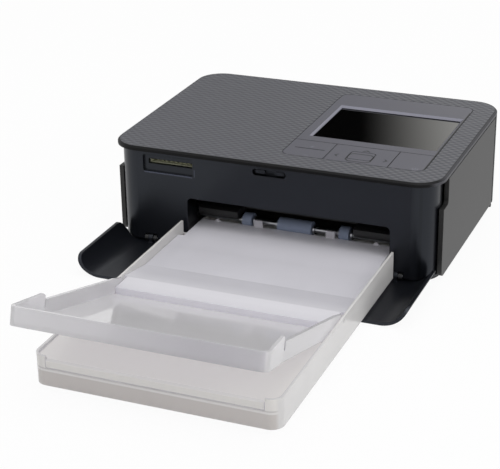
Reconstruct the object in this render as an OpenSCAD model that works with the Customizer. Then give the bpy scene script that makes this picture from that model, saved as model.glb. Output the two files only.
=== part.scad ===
// Compact dye-sublimation photo printer, printing pose: front cover down, paper cassette in
// the mouth, output tray tilted up over the cassette's front half.
// Millimetres. Origin on the table under the middle of the housing, front towards -Y, +Z up.

/* [Housing] */
// Width of the housing
body_w = 182.2; // [178:0.1:190]
// Depth of the housing
body_d = 133; // [130:0.5:140]
// Height of the housing over the table
body_h = 57.6; // [56.6:0.1:62]
// Radius of the upright corners
corner_r = 15; // [12:0.5:17]
// Wall of the outer mouldings
wall = 2; // [1.6:0.1:2.4]
// Thickness of the top cover's rim
lid_t = 2.4; // [2:0.1:3]
// Thickness of the textured top skin
skin_t = 1.2; // [0.8:0.1:1.6]
// How far the front fascia lies behind the top cover's edge
fascia_in = 3; // [2.4:0.1:3.6]
// How far the fascia's sides lie inside the top cover's edge
fascia_side_in = 2.9; // [2.8:0.1:3.6]
// Height of the rubber feet under the base
foot_h = 1; // [0.6:0.1:1.6]
// Radius of a rubber foot
foot_r = 6; // [4:0.5:8]
// Length of the finger notch in each side panel
notch_len = 8.4; // [6:0.2:12]
// Height of the finger notch in each side panel
notch_h = 14.1; // [10:0.1:18]

/* [Control panel] */
// Width of the control panel
panel_w = 77.2; // [76:0.1:80]
// Depth of the control panel, keys included
panel_d = 103; // [100:0.5:106]
// Depth of the row of keys
key_row_d = 23.5; // [21:0.1:26]
// Seam between the keys and around the panel
seam = 0.3; // [0.2:0.05:0.4]
// Width of the display glass
glass_w = 68; // [62:0.1:69]
// Depth of the display glass
glass_d = 49.4; // [42:0.1:50]
// Travel of a key
key_travel = 0.4; // [0.2:0.05:0.6]

/* [Paper path] */
// Width of the paper
paper_w = 100; // [96:1:102]
// Length of a sheet with its tear-off margins
paper_len = 178; // [176:1:180]
// Height of the stack of paper
stack_h = 5; // [2:0.1:5]
// Radius of the pickup rollers
pickup_r = 4.2; // [3.8:0.1:4.5]
// Radius of the steel feed roller
feed_r = 4.2; // [3.5:0.1:4.6]
// Radius of the rubber platen
platen_r = 5.7; // [5:0.1:6]
// Radius of the ribbon cartridge's two tubes
tube_r = 10; // [9:0.1:10.4]

/* [Gears] */
// Module of the gears
gear_m = 0.8; // [0.78:0.01:0.8]
// Thickness of the gears
gear_t = 3; // [2:0.1:3.4]
// Teeth of the feed gear
feed_teeth = 30; // [30:1:31]
// Teeth of the pickup gear
pickup_teeth = 24; // [23:1:24]
// Teeth of the two idler gears and of the ribbon gear
idler_teeth = 22; // [21:1:22]
// Teeth of the motor pinion
pinion_teeth = 12; // [12:1:13]

/* [Front cover] */
// Length of the front cover from its hinge to its front edge
cover_len = 49.1; // [46:0.1:50]
// Wall of the front cover
cover_t = 1.6; // [1.4:0.1:1.8]
// Height of the cover's turned-up wings over the table
wing_h = 10.5; // [8:0.5:12]

/* [Cassette] */
// Width of the cassette
cass_w = 118.6; // [116:0.2:122]
// Room between the paper and the cassette's front wall
cass_room = 8.6; // [4:0.1:12]
// Height of the cassette's floor over the table
cass_z = 3.6; // [3.4:0.1:4]
// Height of the cassette's rim over the table
rim_z = 18.3; // [17.8:0.1:19]
// Wall of the cassette's sides
cass_wall = 1.2; // [1:0.1:2]
// Height of the inner lid's sunk surface over the table
deck_z = 13.3; // [13:0.1:13.6]
// Height of the inner lid's raised front surface over the table
front_deck_z = 17.6; // [16.8:0.1:17.8]

/* [Output tray] */
// Tilt of the output tray at rest
tray_tilt = 16.5; // [15:0.5:17]
// Length of the output tray from its pivot to its front wall
tray_len = 99.1; // [90:0.1:104]
// Height of the output tray's walls over its floor
tray_wall_h = 7.2; // [6:0.2:9]
// Height of the wings beside the slots in the tray's side walls
tray_wing_h = 10; // [8:0.2:11]
// How far the tray's left and right front corners stand out over its side walls
tray_flare = [3.8, 1.6]; // [0:0.1:4.5]
// Thickness of the output tray's floor
tray_t = 1.5; // [1.2:0.1:1.6]

/* [Hidden] */

$fn = 48;
fit = 0.05;          // radial clearance of a shaft in its bore
gap = 0.3;           // clearance between neighbouring parts
eps = 0.01;

half_w = body_w / 2;
half_d = body_d / 2;
lid_z = body_h - lid_t;              // underside of the top cover's rim
panel_gap = 0.6;                     // shadow line between the rim and the side panels
side_top = lid_z - panel_gap;        // top of the side and rear panels
side_z = 2.9;                        // bottom of the side and rear panels
side_t = 2.5;                        // thickness of the side panels
fascia_y = -half_d + fascia_in;      // front face of the fascia
fascia_x = half_w - fascia_side_in;  // outer side face of the fascia
fascia_r = corner_r - fascia_in;     // radius of the fascia's corners
fascia_back = fascia_y + 15;         // rear edge of the fascia's wrapped sides
panel_y = fascia_y + 8.6;            // front edge of the side panels
rear_y = half_d - corner_r;          // where the side panels meet the rear panel
base_t = 1.7;                        // thickness of the base's floor
base_top = foot_h + base_t;
base_front = fascia_y + 4;           // front edge of the base's floor
base_x = half_w - side_t - gap;      // outer side face of the base

// Paper path and mouth
path_x = 9.3;                        // middle of the cassette, the mouth and the paper
neck_w = 2 * 56.1;                   // width of the cassette where it enters the mouth
mouth_w = neck_w + 2 * gap;
mouth_top = 30.7;
mouth_r = 2.5;
mouth_depth = 11;
nose_y = fascia_y + 27.5;            // rear end of the cassette
neck_y = fascia_y - 2.1;             // rear end of the cassette's full width
stack_z = cass_z + 1.3;              // paper lies on the cassette's floor
floor_t = 1.3;
pickup_y = fascia_y + 19.2;
pickup_z = stack_z + stack_h + gap + pickup_r;

// Gear train, seen from the left side, in Y and Z
function pitch_r(teeth) = gear_m * teeth / 2;
function step_to(from, angle, d) = from + d * [cos(angle), sin(angle)];
function bearing_of(a, b) = atan2(b[1] - a[1], b[0] - a[0]);
pickup_c = [pickup_y, pickup_z];
pickup_to_feed = pitch_r(pickup_teeth) + 2 * pitch_r(idler_teeth) + pitch_r(feed_teeth);
feed_y = fascia_y + 57.5;
feed_c = [feed_y, pickup_z + sqrt(pickup_to_feed ^ 2 - (feed_y - pickup_y) ^ 2)];
train_dir = bearing_of(pickup_c, feed_c);
idler_c = step_to(pickup_c, train_dir, pitch_r(pickup_teeth) + pitch_r(idler_teeth));
pinion_dir = 80;                     // the pinion sits above the pickup idler
pinion_c = step_to(idler_c, pinion_dir, pitch_r(idler_teeth) + pitch_r(pinion_teeth));
feed_to_ribbon = pitch_r(feed_teeth) + 3 * pitch_r(idler_teeth);
print_z = feed_c[1] + feed_r;        // height of the paper where it is printed
sheet_z = print_z - 0.75;            // top of the guide that leads to the rear slot
spool_z = sheet_z + gap + tube_r;    // height of both ribbon spools
take_up_c = [feed_y + sqrt(feed_to_ribbon ^ 2 - (spool_z - feed_c[1]) ^ 2), spool_z];
supply_c = [feed_y - 13, spool_z];
ribbon_dir = bearing_of(feed_c, take_up_c);
ribbon_idler_c = step_to(feed_c, ribbon_dir, pitch_r(feed_teeth) + pitch_r(idler_teeth));
platen_c = [feed_y + 14, print_z - platen_r];
pinch_r = 3;
pinch_c = [feed_y, print_z + gap + pinch_r];
shaft_r = 1.5;

// Chassis plates
chassis_x = 62;                      // from the path's middle to a plate's inner face
plate_t = 1.2;
plate_left = path_x - chassis_x - plate_t;
plate_right = path_x + chassis_x;
chassis_w = plate_right + plate_t - plate_left;
gear_x = plate_left - gap - gear_t;  // outer face of the gear train
chassis_front = fascia_y + 11.5;
chassis_back = take_up_c[0] + tube_r + 11;
chassis_top = lid_z - 5.7;
rail_y = fascia_y + 29.5;            // front cross rail
foot_y = [fascia_y + 37.5, fascia_y + 75.5];
foot_len = 12;
foot_out = 4.6;                      // a foot's width beside its plate

// Front cover hinge
hinge_y = fascia_y + 0.6;
cover_z = 0.5;                       // the open cover's underside over the table
hinge_z = cover_z + (hinge_y + half_d);
hinge_arm_x = path_x + mouth_w / 2 + 3.6;
hinge_arm_t = 2.4;
hinge_r = 2.2;
hinge_pin_r = 0.9;
cover_front = hinge_y - cover_len;
cover_back = fascia_y + 3;
ear_knuckle_r = hinge_z - cover_z - cover_t - gap;

// Cassette and output tray
cass_left = path_x - cass_w / 2;
cass_r = 6;                                  // radius of the cassette's front corners
inner_w = cass_w - 2 * cass_wall - 2 * gap;  // inner lid and output tray between the walls
crest_w = inner_w - 2 * 2.1;                 // inner lid between the tray's two hinge ears
neck_in = neck_w / 2 - cass_wall - gap;      // half the inner lid's width in the neck
crest_y = fascia_y - 73.5;
crest_front = crest_y - 13;
ramp_y = crest_y + 24;
step_y = crest_front - 18;
pivot_y = crest_y - 6;
paper_y = nose_y - cass_wall - gap - paper_len;  // front end of the paper
cass_y = paper_y - cass_room - cass_wall;        // front face of the cassette
pivot_z = rim_z - 1.7;
pivot_r = 1;
tray_floor = -(pivot_z - 12.5);              // tray floor's top below the pivot, square to it
ear_r = 2.6;
tray_wall = 1.8;
slot_y = -tray_len + 23;                     // slots in the tray's side walls
tray_r = 4;                                  // radius of the tray's front corners
skirt_w = 105;                               // front flap of the inner lid

// Control panel and keys
panel_x = half_w - 12.9 - panel_w / 2;  // middle of the control panel
panel_mid_y = 1.5;
panel_front = panel_mid_y - panel_d / 2;
key_back = panel_front + key_row_d;
panel_r = 5;
key_t = 1.4;
web_z = body_h - 2.6;                // top of the web that the keys press down to
web_t = 1;
left_key_w = 23.7;
pad_w = 34.8;
power_key_w = panel_w - left_key_w - pad_w;
left_key_x = panel_x - panel_w / 2;
pad_x = left_key_x + left_key_w;
power_key_x = pad_x + pad_w;
ok_w = 13;
ok_d = 10.5;
ok_c = [pad_x + pad_w / 2, panel_front + 10.4];
key_mid_y = (panel_front + key_back) / 2;
dome_z = web_z - web_t - 0.5;
stem_z = dome_z + key_travel + 0.1;  // lower end of the keys' feet

// Rounded rectangle about the origin, with true arcs at its corners
module rounded(w, d, r) {
    if (w > 2 * r) square([w - 2 * r, d], center = true);
    if (d > 2 * r) square([w, d - 2 * r], center = true);
    for (x = [-1, 1], y = [-1, 1])
        translate([x * (w / 2 - r), y * (d / 2 - r)]) circle(r);
}

// Profile in Y and Z, drawn out along X from x to x + len
module along_x(x, len) {
    translate([x, 0, 0]) rotate([90, 0, 90]) linear_extrude(len) children();
}

// Profile in X and Z, drawn out along Y from y to y + len
module along_y(y, len) {
    translate([0, y + len, 0]) rotate([90, 0, 0]) linear_extrude(len) children();
}

// Rod along X with its middle at c in Y and Z
module rod(c, x, len, r) {
    translate([x, c[0], c[1]]) rotate([0, 90, 0]) cylinder(h = len, r = r);
}

module slab(x, y, z, size) {
    translate([x, y, z]) cube(size);
}

// Plate with upright rounded corners and a bevelled upper edge
module bevelled_plate(w, d, h, r, bevel) {
    rise = h - bevel;
    linear_extrude(rise) rounded(w, d, r);
    translate([0, 0, rise]) {
        for (x = [-1, 1], y = [-1, 1])
            translate([x * (w / 2 - r), y * (d / 2 - r), 0])
                cylinder(h = bevel, r1 = r, r2 = r - bevel);
        along_y(-d / 2 + r, d - 2 * r) bevel_strip(w, bevel);
        rotate([0, 0, 90]) along_y(-w / 2 + r, w - 2 * r) bevel_strip(d, bevel);
    }
}

module bevel_strip(w, bevel) {
    polygon([[-w / 2, 0], [w / 2, 0], [w / 2 - bevel, bevel], [-w / 2 + bevel, bevel]]);
}

// Involute teeth
pressure = 25;
backlash = 0.9;      // degrees taken off each flank of a tooth
addendum = 0.9;
dedendum = 1.25;
function involute(rb, t) = rb * [cos(t) + t * PI / 180 * sin(t), sin(t) - t * PI / 180 * cos(t)];
function turn(p, a) = [p[0] * cos(a) - p[1] * sin(a), p[0] * sin(a) + p[1] * cos(a)];
function flank(teeth, steps = 4) =
    let (rp = pitch_r(teeth), rb = rp * cos(pressure), ra = rp + addendum * gear_m,
        t_end = sqrt((ra / rb) ^ 2 - 1) * 180 / PI,
        start = -(90 / teeth - backlash * 12 / teeth)
            - (tan(pressure) * 180 / PI - pressure))
    [for (i = [0:steps]) turn(involute(rb, t_end * i / steps), start)];
function tooth(teeth) =
    let (right = flank(teeth), root = pitch_r(teeth) - dedendum * gear_m, n = len(right),
        foot = right[0] * root / norm(right[0]))
    concat([foot], right, [for (i = [n - 1:-1:0]) [right[i][0], -right[i][1]]],
        [[foot[0], -foot[1]]]);
function gear_outline(teeth) =
    [for (k = [0:teeth - 1], p = tooth(teeth)) turn(p, k * 360 / teeth)];

// Turn of a gear so that its teeth fall into the gaps of the gear it meets at a bearing
function mesh_turn(n1, turn1, n2, bearing) =
    let (part = (bearing - turn1) * n1 / 360) bearing + 180 - (0.5 - part) * 360 / n2;
feed_turn = 0;
idler_turn = mesh_turn(feed_teeth, feed_turn, idler_teeth, train_dir + 180);
pickup_turn = mesh_turn(idler_teeth, idler_turn, pickup_teeth, train_dir + 180);
pinion_turn = mesh_turn(idler_teeth, idler_turn, pinion_teeth, pinion_dir);
ribbon_idler_turn = mesh_turn(feed_teeth, feed_turn, idler_teeth, ribbon_dir);
ribbon_turn = mesh_turn(idler_teeth, ribbon_idler_turn, idler_teeth, ribbon_dir);

module gear(teeth, c, angle, bore_r) {
    along_x(gear_x, gear_t)
        translate(c) difference() {
            rotate(angle) polygon(gear_outline(teeth));
            circle(bore_r);
        }
}

// Base: floor on four feet, a low rim, rails under the cassette and ears for the cover's hinge
module base_pan() color([0.09, 0.09, 0.1]) {
    difference() {
        union() {
            base_outline(base_top - foot_h, foot_h);
            difference() {
                base_outline(3.3, base_top);
                translate([0, 0, -1]) base_core(8);
                slab(-half_w, -half_d, 0, [body_w, half_d + fascia_back + gap, 20]);
            }
            for (x = [-1, 1])
                slab(path_x + x * 50 - 1.5, base_front, base_top - eps,
                    [3, 24, cass_z - gap - base_top + eps]);
            for (x = [-1, 1], dx = [-1, 1])
                hinge_ear(x * hinge_arm_x + dx * (hinge_arm_t / 2 + gap + 1) - 1);
            door_pivot() translate([0, 0, foot_h]) {
                cylinder(h = side_z - gap - foot_h, r = side_t / 2);
                translate([-4, -side_t / 2, 0]) cube([4, side_t, side_z - gap - foot_h]);
            }
        }
        feet_at() translate([0, 0, foot_h - 1]) cylinder(h = 1.6, r = foot_r + gap / 2);
        screws_at() cylinder(h = 9, r = screw_r + fit);
        screws_at() translate([0, 0, foot_h - eps]) cylinder(h = 1 + eps, r = 3.2);
        door_pivot() cylinder(h = 2 * side_z + 1, r = pivot_pin_r + fit);
    }
}

base_r = corner_r - wall - gap;
module base_outline(h, z) {
    y0 = base_front;
    y1 = half_d - wall - gap;
    translate([0, (y0 + y1) / 2, z]) linear_extrude(h) rounded(2 * base_x, y1 - y0, base_r);
}

module base_core(h) {
    y0 = base_front + wall;
    y1 = half_d - 2 * wall - gap;
    translate([0, (y0 + y1) / 2, 0]) linear_extrude(h) rounded(2 * (base_x - wall), y1 - y0, base_r - wall);
}

module hinge_ear(x) {
    along_x(x, 2) difference() {
        union() {
            translate([hinge_y, hinge_z]) circle(ear_knuckle_r);
            translate([hinge_y, hinge_z - ear_knuckle_r]) square([8.5, 2 * ear_knuckle_r]);
            translate([base_front + 0.5, base_top - 1]) square([4, 4]);
        }
        translate([hinge_y, hinge_z]) circle(hinge_pin_r + fit);
    }
}

module feet_at() {
    for (x = [-1, 1], y = [-half_d + 22.5, half_d - 18.5])
        translate([x * (half_w - 15.1), y, 0]) children();
}

module rubber_feet() color([0.13, 0.13, 0.13]) {
    feet_at() {
        cylinder(h = 0.4 + eps, r1 = foot_r - 0.4, r2 = foot_r);
        translate([0, 0, 0.4]) cylinder(h = foot_h + 0.6 - 0.4, r = foot_r);
    }
}

// Screws that hold the chassis feet down on the base
screw_r = 1.6;
module screws_at() {
    for (x = [plate_left - 2.4, plate_right + plate_t + 2.4], y = foot_y)
        translate([x, y + foot_len / 2, 0]) children();
}

module case_screws() color([0.6, 0.6, 0.62]) {
    screws_at() difference() {
        union() {
            translate([0, 0, foot_h]) cylinder(h = 1, r = 2.8);
            translate([0, 0, foot_h + 1 - eps]) cylinder(h = 4, r = screw_r);
        }
        translate([0, 0, foot_h - 1])
            for (a = [0, 90]) rotate(a) translate([-1.4, -0.3, 0]) cube([2.8, 0.6, 1.6]);
    }
}

// Fascia: front wall with wrapped corners, card recess, latch slot, mouth and its frame
card_x = 33.3 - half_w;
card_z = lid_z - 7.4;
card_w = 28.9;
card_h = 9.6;
slot_in = 0.9;       // height of the card slot over the recess's middle
latch_z = lid_z - 4.2;
module front_fascia() color([0.13, 0.13, 0.14]) {
    difference() {
        union() {
            fascia_band(side_z + gap, lid_z);
            translate([card_x, fascia_y + wall + 1.6, card_z]) rotate([90, 0, 0])
                linear_extrude(2) rounded(card_w + 3, card_h + 3, 2);
            translate([0, fascia_y + wall + 2.2, latch_z]) rotate([90, 0, 0])
                linear_extrude(2.6) rounded(22, 7, 3);
            mouth_frame();
            slab(card_x - 22.2, fascia_y + wall - eps, board_z - 1.8, [38, 26, 1.8]);
        }
        mouth_cut(fascia_y - 5, 40);
        translate([card_x, fascia_y + 1.4, card_z]) rotate([90, 0, 0])
            linear_extrude(5) rounded(card_w, card_h, 1.4);
        translate([card_x + 1, fascia_y + 10, card_z + slot_in]) rotate([90, 0, 0])
            linear_extrude(14) rounded(25.4, 2.8, 0.4);
        translate([0, fascia_y + 2.8, latch_z]) rotate([90, 0, 0])
            linear_extrude(5) rounded(18.6, 3.6, 1.8);
        for (x = [-1, 1])
            slab(x * hinge_arm_x - 3.8, -half_d, 0, [7.6, 14, hinge_z + hinge_r + gap]);
    }
    for (x = [-1, 1])
        translate([x * 5.3, fascia_y + 3, latch_z]) rotate([90, 0, 0])
            linear_extrude(1.8) rounded(5.6, 2.2, 1.1);
}

// Wall that follows the fascia's outline from one side to the other
module fascia_band(z0, z1) {
    depth = 80;
    translate([0, fascia_y + depth / 2, z0]) linear_extrude(z1 - z0) difference() {
        rounded(2 * fascia_x, depth, fascia_r);
        rounded(2 * (fascia_x - wall), depth - 2 * wall, fascia_r - wall);
        translate([0, fascia_back - fascia_y]) square([body_w, depth], center = true);
    }
}

// Opening of the mouth, with rounded upper corners
module mouth_cut(y, len) {
    translate([path_x, 0, 0]) along_y(y, len) {
        translate([0, mouth_top - 20]) rounded(mouth_w, 40, mouth_r);
        translate([-mouth_w / 2, -5]) square([mouth_w, 30]);
    }
}

module mouth_frame() {
    translate([path_x, 0, 0]) along_y(fascia_y + wall - eps, mouth_depth) {
        translate([-mouth_w / 2 - wall, base_top]) square([mouth_w + 2 * wall, mouth_top - 1]);
    }
}

// Top cover: rim plate, its inner skirt and the hole for the control panel
module top_cover() color([0.2, 0.2, 0.21]) {
    difference() {
        translate([0, 0, lid_z]) bevelled_plate(body_w, body_d, lid_t, corner_r, 0.9);
        translate([0, 0, body_h - skin_t]) linear_extrude(10)
            rounded(body_w - 2.4, body_d - 2.4, corner_r - 1.2);
        panel_hole(seam);
        door_pivot() translate([0, 0, lid_z - 1]) cylinder(h = 2.6, r = pivot_pin_r + fit);
    }
    difference() {
        translate([0, 0, lid_z - 2.4]) linear_extrude(2.4 + eps)
            rounded(2 * (fascia_x - wall - gap), body_d - 2 * (fascia_in + wall + gap), fascia_r - wall);
        translate([0, 0, lid_z - 5]) linear_extrude(10)
            rounded(2 * (fascia_x - 2 * wall - gap), body_d - 2 * (fascia_in + 2 * wall + gap),
                fascia_r - 2 * wall);
        panel_hole(4);
        slab(card_x - card_w / 2 - 2.5, -half_d, lid_z - 5, [14.5 + card_w / 2 - card_x, 8, 5]);
    }
    pan_hooks();
}

// Four clips that hang from the cover's skirt
module pan_hooks() {
    for (x = [-1, 1], y = [fascia_y + 43.5, rear_y - 21.5])
        slab(x * (fascia_x - wall - gap - 1) - 1, y, lid_z - 8, [2, 8, 8 + eps]);
}

module panel_hole(c) {
    translate([panel_x, panel_mid_y, lid_z - 10])
        linear_extrude(30) rounded(panel_w + 2 * c, panel_d + 2 * c, panel_r + c);
}

module top_skin() color([0.33, 0.33, 0.35]) {
    difference() {
        translate([0, 0, body_h - skin_t]) linear_extrude(skin_t)
            rounded(body_w - 2.4 - 2 * fit, body_d - 2.4 - 2 * fit, corner_r - 1.2 - fit);
        panel_hole(seam);
    }
}

// Control panel: framed plate with a sloped surround for the glass, and a web under the keys
glass_x = panel_x + 1.9;
glass_y = panel_mid_y + 4.9;
module control_panel() color([0.42, 0.41, 0.45]) {
    plate_t2 = 2.2;
    difference() {
        translate([0, 0, body_h - plate_t2]) linear_extrude(plate_t2) intersection() {
            translate([panel_x, panel_mid_y]) rounded(panel_w, panel_d, panel_r);
            translate([left_key_x - 1, key_back]) square([panel_w + 2, 90]);
        }
        hull() {
            translate([glass_x, glass_y, body_h - 1.3]) cube([glass_w, glass_d, 0.1], center = true);
            translate([glass_x, glass_y + 0.7, body_h + 0.1])
                cube([glass_w + 3.2, glass_d + 3.8, 0.1], center = true);
        }
        translate([glass_x, glass_y, body_h - 3]) cube([glass_w, glass_d, 8], center = true);
        translate([glass_x, glass_y, body_h - 2.2])
            cube([glass_w + 3 + gap, glass_d + 3 + gap, 2.2], center = true);
    }
    difference() {
        translate([panel_x, panel_mid_y, web_z - 3])
            linear_extrude(body_h - plate_t2 - web_z + 3) rounded(panel_w - 1, panel_d - 1, panel_r);
        translate([panel_x, panel_mid_y, web_z - 4]) linear_extrude(9)
            rounded(panel_w - 3.4, panel_d - 3.4, panel_r - 1.2);
        translate([left_key_x - 1, panel_front - 1, web_z]) cube([panel_w + 2, key_row_d + 1, 5]);
    }
    difference() {
        slab(left_key_x + 1.5, panel_front + 1.5, web_z - web_t, [panel_w - 3, key_row_d + 1, web_t]);
        translate([0, 0, -1]) key_stems(0.5, 20);
        translate([ok_c[0], ok_c[1], 0]) cylinder(h = 99, r = 3);
    }
    for (x = [8, 27, 52, panel_w - 8], y = [4.5, key_row_d - 4])
        translate([left_key_x + x, panel_front + y, board_top])
            cylinder(h = web_z - web_t - board_top + eps, r = 1.2);
    slab(left_key_x + 1.5, key_back, web_z - web_t, [panel_w - 3, 2, body_h - web_z]);
}

// Feet under the key plates, widened by c where they pass the web
module key_stems(c, h) {
    for (p = [[left_key_x + 12, key_mid_y - 6.2], [left_key_x + 12, key_mid_y + 6.2],
            [power_key_x + 9, key_mid_y]])
        translate([p[0], p[1], stem_z]) cylinder(h = h, r = 1.8 + c);
    for (p = pad_stems()) translate([p[0], p[1], stem_z]) cylinder(h = h, r = 1 + c);
}

function pad_stems() = [[pad_x + 3.4, key_mid_y], [pad_x + pad_w - 3.4, key_mid_y],
    [pad_x + pad_w / 2, panel_front + 3.4], [pad_x + pad_w / 2, key_back - 3.4]];

module lcd_glass() color([0.04, 0.04, 0.05]) {
    translate([glass_x, glass_y, body_h - 2.2]) linear_extrude(0.9)
        square([glass_w + 3, glass_d + 3], center = true);
}

module lcd_module() color([0.55, 0.56, 0.58]) {
    z0 = body_h - 5.2;
    z1 = body_h - 2.2 - 0.15;
    difference() {
        translate([glass_x, glass_y, (z0 + z1) / 2])
            cube([glass_w + 1, glass_d + 2.6, z1 - z0], center = true);
        translate([glass_x, glass_y, z1]) cube([glass_w - 2, glass_d - 2, 0.8], center = true);
    }
}

board_top = web_z - web_t - 1.2;
module key_board() color([0.1, 0.32, 0.16]) {
    translate([panel_x, panel_front + 2 + key_row_d / 2, board_top - 1]) linear_extrude(1)
        rounded(panel_w - 4, key_row_d, panel_r - 1.5);
    for (p = concat(pad_stems(), [[left_key_x + 12, key_mid_y - 6.2],
            [left_key_x + 12, key_mid_y + 6.2], [power_key_x + 9, key_mid_y], ok_c]))
        translate([p[0], p[1], board_top - eps]) cylinder(h = dome_z - board_top + eps, r = 1.4);
}

// Outline of a stretch of the row of keys, from x to x + w
module key_outline(x, w) {
    intersection() {
        translate([panel_x, panel_mid_y]) rounded(panel_w, panel_d, panel_r);
        translate([x, panel_front]) square([w, key_row_d - seam]);
    }
}

module left_key() color([0.42, 0.41, 0.45]) {
    difference() {
        translate([0, 0, body_h - key_t]) linear_extrude(key_t)
            key_outline(left_key_x, left_key_w - seam);
        slab(left_key_x + 4, key_mid_y - 0.25, body_h - 0.8, [16.6, 0.5, 2]);
    }
    for (y = [-6.2, 6.2]) translate([left_key_x + 12, key_mid_y + y, stem_z])
        cylinder(h = body_h - key_t - stem_z + eps, r = 1.8);
}

module direction_pad() color([0.42, 0.41, 0.45]) {
    difference() {
        translate([0, 0, body_h - key_t]) linear_extrude(key_t) key_outline(pad_x, pad_w - seam);
        translate([ok_c[0], ok_c[1], 0]) linear_extrude(90)
            rounded(ok_w + 2 * seam, ok_d + 2 * seam, 1.8 + seam);
    }
    for (p = pad_stems()) translate([p[0], p[1], stem_z])
        cylinder(h = body_h - key_t - stem_z + eps, r = 1);
}

// Tilting ring between the web and the pad
module pad_pivot() color([0.3, 0.3, 0.32]) {
    translate([pad_x + pad_w / 2, key_mid_y, web_z + gap]) linear_extrude(0.6) difference() {
        rounded(24, 14, 2);
        translate(ok_c - [pad_x + pad_w / 2, key_mid_y]) circle(3.6);
    }
}

module ok_key() color([0.42, 0.41, 0.45]) {
    ok_t = key_t - key_travel;
    translate([ok_c[0], ok_c[1], body_h - ok_t]) linear_extrude(ok_t) rounded(ok_w, ok_d, 1.8);
    translate([ok_c[0], ok_c[1], stem_z])
        cylinder(h = body_h - ok_t - stem_z + eps, r = 2.4);
}

module power_key() color([0.42, 0.41, 0.45]) {
    translate([0, 0, body_h - key_t]) linear_extrude(key_t) key_outline(power_key_x, power_key_w);
    translate([power_key_x + 9, key_mid_y, stem_z])
        cylinder(h = body_h - key_t - stem_z + eps, r = 1.8);
}

// Side profile shared by both side panels: finger notch at the upper front corner
notch_z = side_top - notch_h;
module side_profile(y1) {
    r = 3;
    difference() {
        union() {
            translate([panel_y + r, side_z]) square([y1 - panel_y - r, side_top - side_z]);
            translate([panel_y, side_z + r]) square([r + 1, side_top - side_z - r]);
            translate([panel_y + r, side_z + r]) circle(r);
        }
        translate([panel_y - 1, notch_z + 2]) square([notch_len + 1, 60]);
        translate([panel_y - 1, notch_z]) square([notch_len - 1, 60]);
        translate([panel_y + notch_len - 2, notch_z + 2]) circle(2);
    }
}

module left_side_panel() color([0.36, 0.36, 0.37]) {
    along_x(-half_w, side_t) side_profile(rear_y - gap / 2);
    for (y = [panel_y + 18.9, rear_y - 31.5], z = [12, 44]) slab(-half_w + side_t - eps, y, z, [1.4, 16, 2]);
}

// Rear panel: wraps round both rear corners; paper slot, air slots and sockets
slot_z = print_z - 2.3;
module rear_panel() color([0.2, 0.2, 0.21]) {
    difference() {
        translate([0, 0, side_z]) linear_extrude(side_top - side_z) difference() {
            rounded(body_w, body_d, corner_r);
            rounded(body_w - 2 * wall, body_d - 2 * wall, corner_r - wall);
            translate([0, rear_y + gap / 2 - body_d]) square([2 * body_w, 2 * body_d], center = true);
        }
        translate([path_x, 0, slot_z + 3]) along_y(half_d - 10, 20) rounded(paper_w + 4, 6, 2);
        for (i = [0:11])
            translate([path_x - 33 + 6 * i, 0, side_top - 10.6]) along_y(half_d - 10, 20) rounded(2, 9, 0.9);
        slab(usb_x - 3.8, half_d - 10, 9.6, [7.6, 20, 15.3]);
        translate([dc_c[0], half_d - 10, dc_c[1]]) rotate([-90, 0, 0]) cylinder(h = 20, r = 4.4);
    }
}

// Side door over the ribbon bay, on two moulded pivot pins at its rear edge
pivot_pin_r = 0.6;
door_x = half_w - side_t / 2;
door_y = rear_y - gap - side_t / 2;
module door_pivot() {
    translate([door_x, door_y, 0]) children();
}

module ink_door() color([0.36, 0.36, 0.37]) {
    along_x(half_w - side_t, side_t) side_profile(door_y);
    door_pivot() {
        translate([0, 0, side_z]) cylinder(h = side_top - side_z, r = side_t / 2);
        translate([0, 0, side_z - 1.5]) cylinder(h = 3, r = pivot_pin_r);
        translate([0, 0, side_top - eps]) cylinder(h = panel_gap + 1.2, r = pivot_pin_r);
    }
    for (z = [10, 30]) {
        slab(half_w - side_t - 4, panel_y + 7.5, z, [4 + eps, 1.2, 6]);
        slab(half_w - side_t - 4, panel_y + 8.6, z, [1.2, 1.2, 6]);
    }
    for (z = [22, 36])
        slab(half_w - side_t - 1.5, panel_y + 24.9, z, [1.5 + eps, door_y - panel_y - 44.9, 1.2]);
}

// Boards and sockets
board_z = card_z - 5.2;
board_x = 18.5 - half_w;             // inner face of the main board
usb_x = board_x + 3.8;
board_len = 55.5;
board_y = half_d - 9 - board_len;
dc_c = [board_x + 6.6, 36];
module main_board() color([0.1, 0.32, 0.16]) {
    slab(board_x - 1.6, board_y, base_top, [1.6, board_len, body_h - 13.6]);
    slab(board_x - eps, board_y + 6, 22, [2, 14, 14]);
    slab(board_x - eps, board_y + 26, 8, [1.4, 10, 10]);
}

module usb_port() color([0.75, 0.76, 0.78]) {
    difference() {
        slab(board_x, half_d - 15, 10.2, [7.1, 14.6, 14.1]);
        slab(board_x + 0.4, half_d - 14, 10.7, [6.3, 20, 13.1]);
    }
    slab(board_x + 1.4, half_d - 14.5, 11.6, [1.9, 12, 11.3]);
}

module dc_jack() color([0.08, 0.08, 0.08]) {
    difference() {
        union() {
            slab(board_x, half_d - 16, dc_c[1] - 5.2, [11.8, 12, 10.4]);
            translate([dc_c[0], half_d - 5, dc_c[1]]) rotate([-90, 0, 0]) cylinder(h = 4.8, r = 4.2);
        }
        translate([dc_c[0], half_d - 10, dc_c[1]]) rotate([-90, 0, 0]) cylinder(h = 20, r = 2.9);
    }
    translate([dc_c[0], half_d - 11, dc_c[1]]) rotate([-90, 0, 0]) cylinder(h = 9.8, r = 0.9);
}

module card_board() color([0.1, 0.32, 0.16]) {
    slab(card_x - 21.2, fascia_y + 4.1, board_z, [37, 23, 1.5]);
}

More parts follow.
